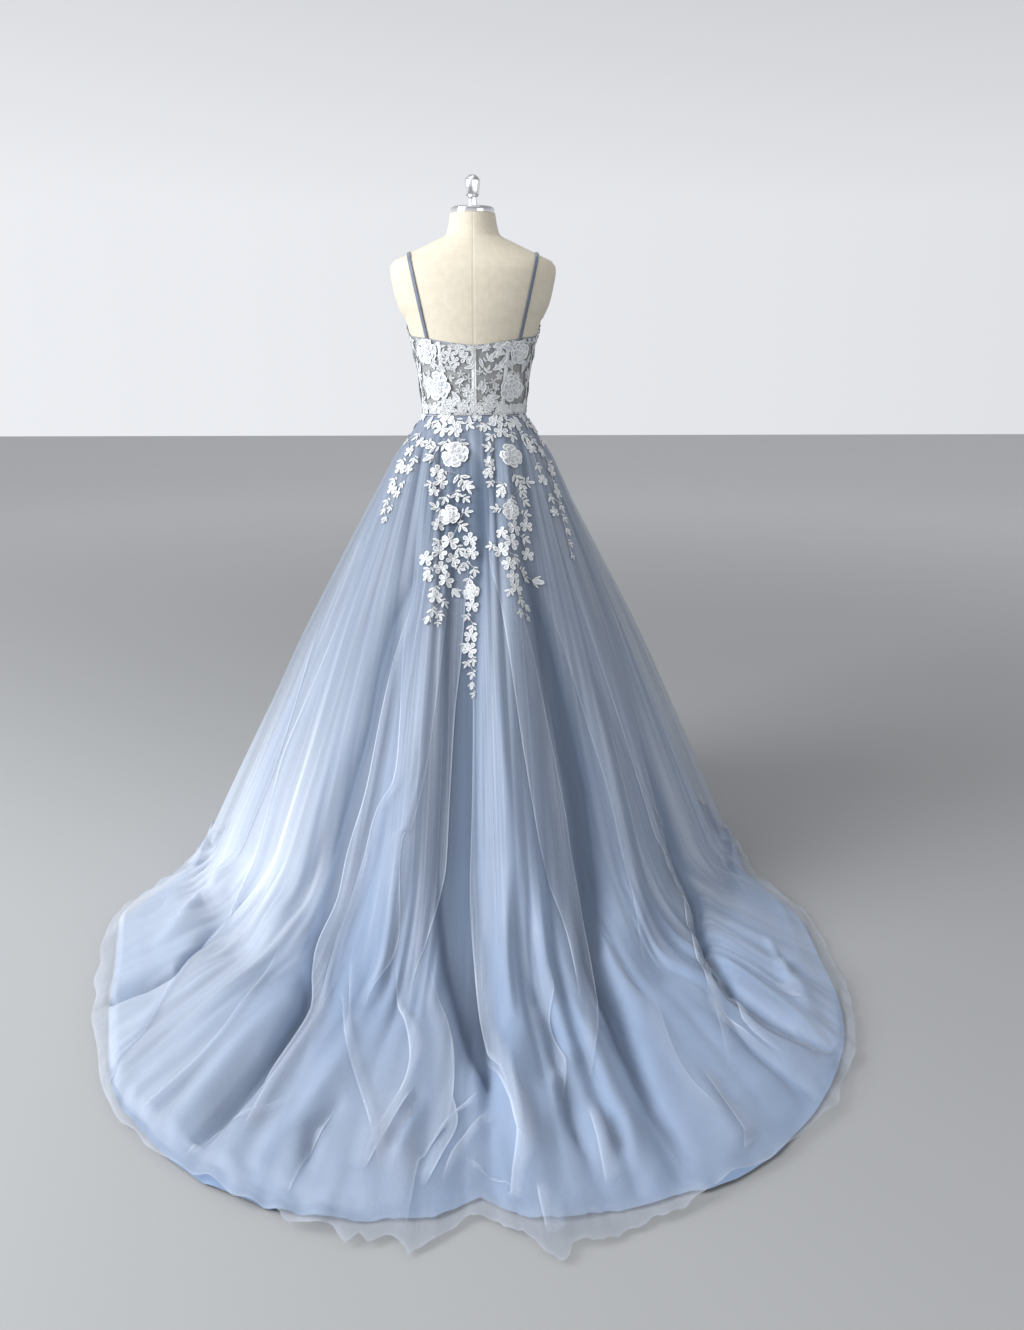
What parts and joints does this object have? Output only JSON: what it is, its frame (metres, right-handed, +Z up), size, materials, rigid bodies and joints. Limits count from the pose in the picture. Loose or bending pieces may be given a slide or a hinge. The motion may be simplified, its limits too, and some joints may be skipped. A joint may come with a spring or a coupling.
{
  "type": "ball gown on a dress form",
  "caption": "Strapped ball gown with a sheer lace corset bodice and an A-line tulle skirt with a train over a lining, standing on a limbless dress form.",
  "frame": {"origin": "centre of the stand's flat underside, on the dress form's axis", "axes": "+Z up; +Y towards the train at the gown's back, the front faces -Y; +X is the wearer's left"},
  "size_m": [1.5241, 1.9965, 1.5865],
  "materials": {
    "net": "sheer net",
    "lace": "embroidered lace",
    "casing": "woven tape",
    "satin": "satin",
    "tulle": "sheer tulle",
    "strap": "satin",
    "linen": "woven linen",
    "chrome": "polished",
    "stand": "satin",
    "zip_tape": "woven tape",
    "zip_metal": "satin"
  },
  "bodies": {
    "gown": {"bodice_front": "net", "cup_left": "net", "cup_right": "net", "bodice_side_front_left": "net", "bodice_side_front_right": "net", "bodice_side_back_left": "net", "bodice_side_back_right": "net", "bodice_back_left": "net", "bodice_back_right": "net", "bone_casing_back_left": "casing", "bone_casing_back_right": "casing", "bone_casing_side_left": "casing", "bone_casing_side_right": "casing", "bone_casing_front_left": "casing", "bone_casing_front_right": "casing", "lace_back_left": "lace", "lace_back_right": "lace", "lace_front_left": "lace", "lace_front_right": "lace", "strap_left": "strap", "strap_right": "strap", "zip_tape_left": "zip_tape", "zip_tape_right": "zip_tape", "zip_slider": "zip_metal", "lining_back_left": "satin", "lining_back_right": "satin", "lining_side_left": "satin", "lining_side_right": "satin", "lining_front": "satin", "tulle_back_left": "tulle", "tulle_back_right": "tulle", "tulle_side_left": "tulle", "tulle_side_right": "tulle", "tulle_front": "tulle", "applique_back_left": "lace", "applique_back_right": "lace", "applique_side_left": "lace", "applique_side_right": "lace", "applique_front_left": "lace", "applique_front_right": "lace", "applique_centre_back": "lace", "form_body": "linen", "neck_plate": "chrome", "neck_knob": "chrome", "stand_pole": "stand", "stand_base": "stand"},
    "zip_pull": {"zip_pull": "zip_metal"}
  },
  "joints": [
    {"name": "zip_pull_hinge", "type": "hinge", "parent": "gown", "child": "zip_pull", "pos_m": [0, 0.10055, 1.21061], "axis": [1, 0, 0], "range_deg": [0, 150]}
  ]
}
